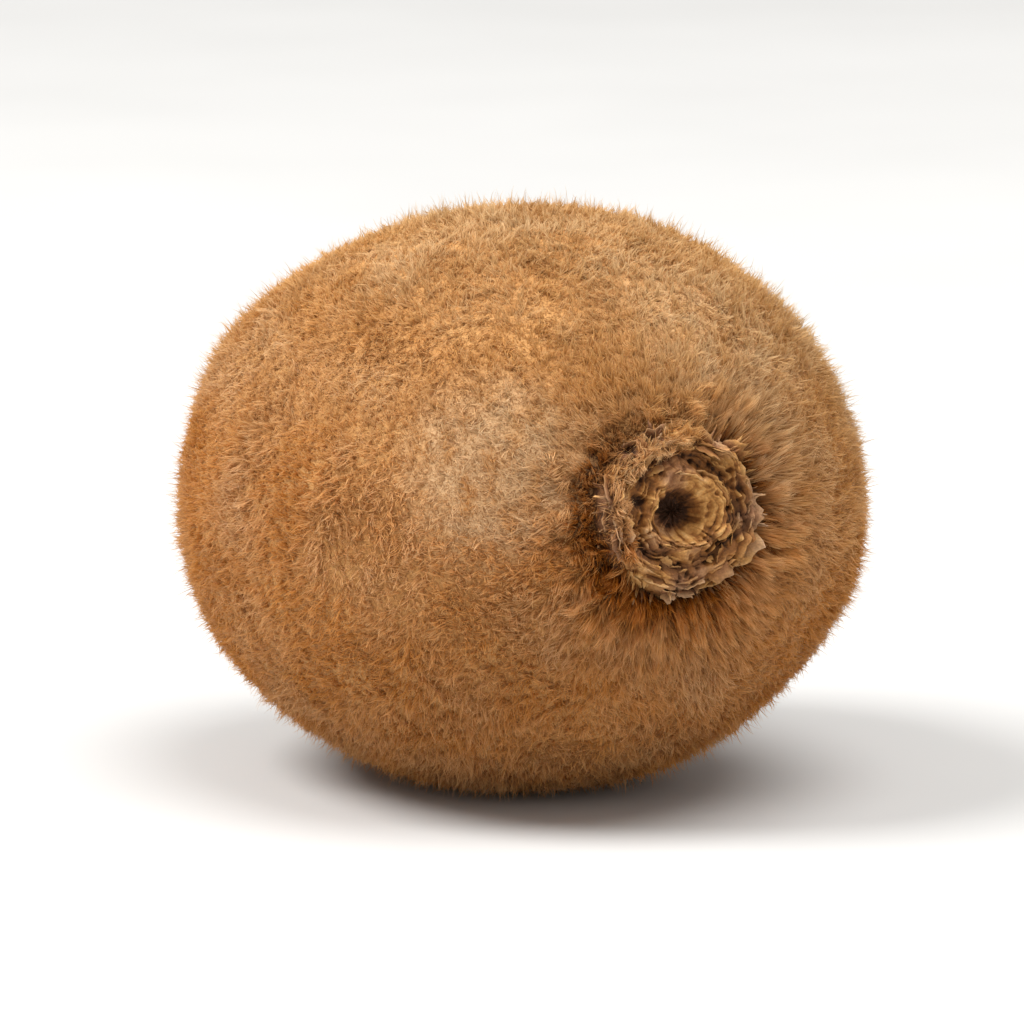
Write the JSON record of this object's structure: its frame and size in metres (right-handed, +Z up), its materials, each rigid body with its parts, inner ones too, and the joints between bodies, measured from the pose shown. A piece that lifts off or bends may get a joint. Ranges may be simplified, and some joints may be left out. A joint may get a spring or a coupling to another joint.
{
  "type": "kiwifruit",
  "caption": "Whole fuzzy brown kiwifruit lying on its side, with a woody stem button at one end and a tuft of dried styles at the other.",
  "frame": {"origin": "middle of the small flat spot on the fruit's underside that it rests on", "axes": "+X along the fruit's length, towards its stem end; +Z up as it lies on its broad side"},
  "size_m": [0.0681, 0.0547, 0.0487],
  "materials": {
    "fuzzy_brown_skin": "matte"
  },
  "bodies": {
    "root": {"kiwifruit": "fuzzy_brown_skin"}
  },
  "joints": []
}
